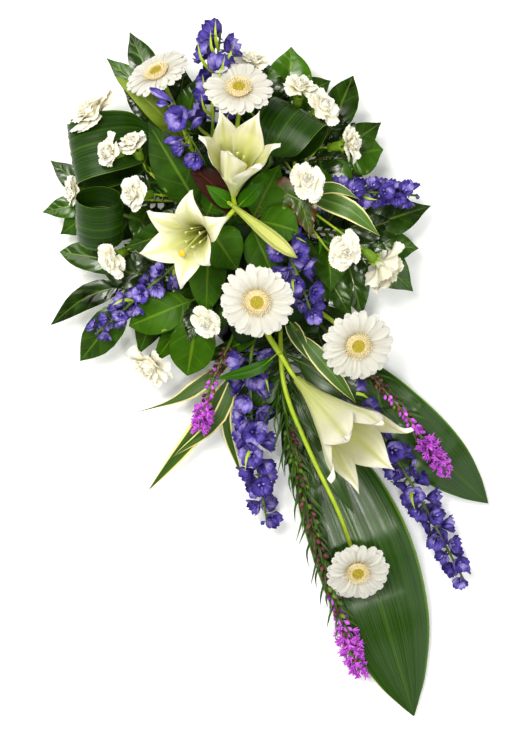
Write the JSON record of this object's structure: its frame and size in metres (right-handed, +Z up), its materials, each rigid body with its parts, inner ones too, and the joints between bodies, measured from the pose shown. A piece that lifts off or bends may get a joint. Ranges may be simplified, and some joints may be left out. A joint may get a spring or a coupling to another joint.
{
  "type": "single ended funeral arrangement",
  "caption": "Tear-shaped spray of white lilies, gerberas and carnations, blue delphinium, purple liatris and broad leaves, set in wet foam on a low plastic tray.",
  "frame": {"origin": "middle of the flat underside of the tray, which lies on the ground or on a coffin lid", "axes": "+Z up out of the flowers, the shortest way through the spray; +Y towards the round head end, along the whole length; -Y towards the tip of the tail; +X to the right as seen from above with the head end up"},
  "size_m": [0.546, 0.837, 0.2443],
  "materials": {
    "tray": "moulded dark green plastic with a soft sheen",
    "foam": "wet open-cell floral foam, matt and slightly crumbly",
    "gerbera": "cream white ray petals with a pale straw disc",
    "lily": "waxy ivory tepals, yellow green towards the throat",
    "carnation": "soft frilled white petals",
    "delphinium": "blue violet florets, satin",
    "liatris": "magenta purple florets above brown red buds",
    "stem": "smooth yellow green stalk",
    "calyx": "smooth mid green stalks and calyces",
    "salal": "glossy leathery deep green leaves with pale veins",
    "bronze": "glossy red brown and green leaves",
    "variegated": "green leaves with cream margins",
    "ruscus": "narrow dark green leaves",
    "aspidistra": "large dark green leaves with fine parallel veins"
  },
  "bodies": {
    "root": {"aspidistra_long": "aspidistra", "aspidistra_loop_1": "aspidistra", "aspidistra_loop_2": "aspidistra", "aspidistra_loop_3": "aspidistra", "aspidistra_side": "aspidistra", "bronze_leaves": "bronze", "carnation_1": "carnation", "carnation_12": "carnation", "carnation_13": "carnation", "carnation_14": "carnation", "carnation_15": "carnation", "carnation_4": "carnation", "carnation_5": "carnation", "carnation_6": "carnation", "carnation_7": "carnation", "carnation_8": "carnation", "carnation_9": "carnation", "carnation_pair_left": "carnation", "carnation_pair_right": "carnation", "carnation_stem_left": "calyx", "carnation_stem_low": "calyx", "carnation_stem_right": "calyx", "delphinium_1": "delphinium", "delphinium_2": "delphinium", "delphinium_3": "delphinium", "delphinium_4": "delphinium", "delphinium_5": "delphinium", "delphinium_6": "delphinium", "dracaena_left": "variegated", "dracaena_right": "variegated", "dracaena_tail": "variegated", "foam": "foam", "gerbera_1": "gerbera", "gerbera_1_stem": "stem", "gerbera_2": "gerbera", "gerbera_2_stem": "stem", "gerbera_3": "gerbera", "gerbera_3_stem": "stem", "gerbera_4": "gerbera", "gerbera_4_stem": "stem", "gerbera_5": "gerbera", "gerbera_5_stem": "stem", "liatris_1": "liatris", "liatris_2": "liatris", "liatris_3": "liatris", "lily_1": "lily", "lily_2": "lily", "lily_3": "lily", "lily_stem_head": "stem", "lily_stem_tail": "stem", "ruscus_tail": "ruscus", "salal_centre": "salal", "salal_left": "salal", "salal_low": "salal", "salal_lower_left": "salal", "salal_lower_right": "salal", "salal_right": "salal", "salal_top_left": "salal", "salal_top_right": "salal", "tray": "tray"}
  },
  "joints": []
}
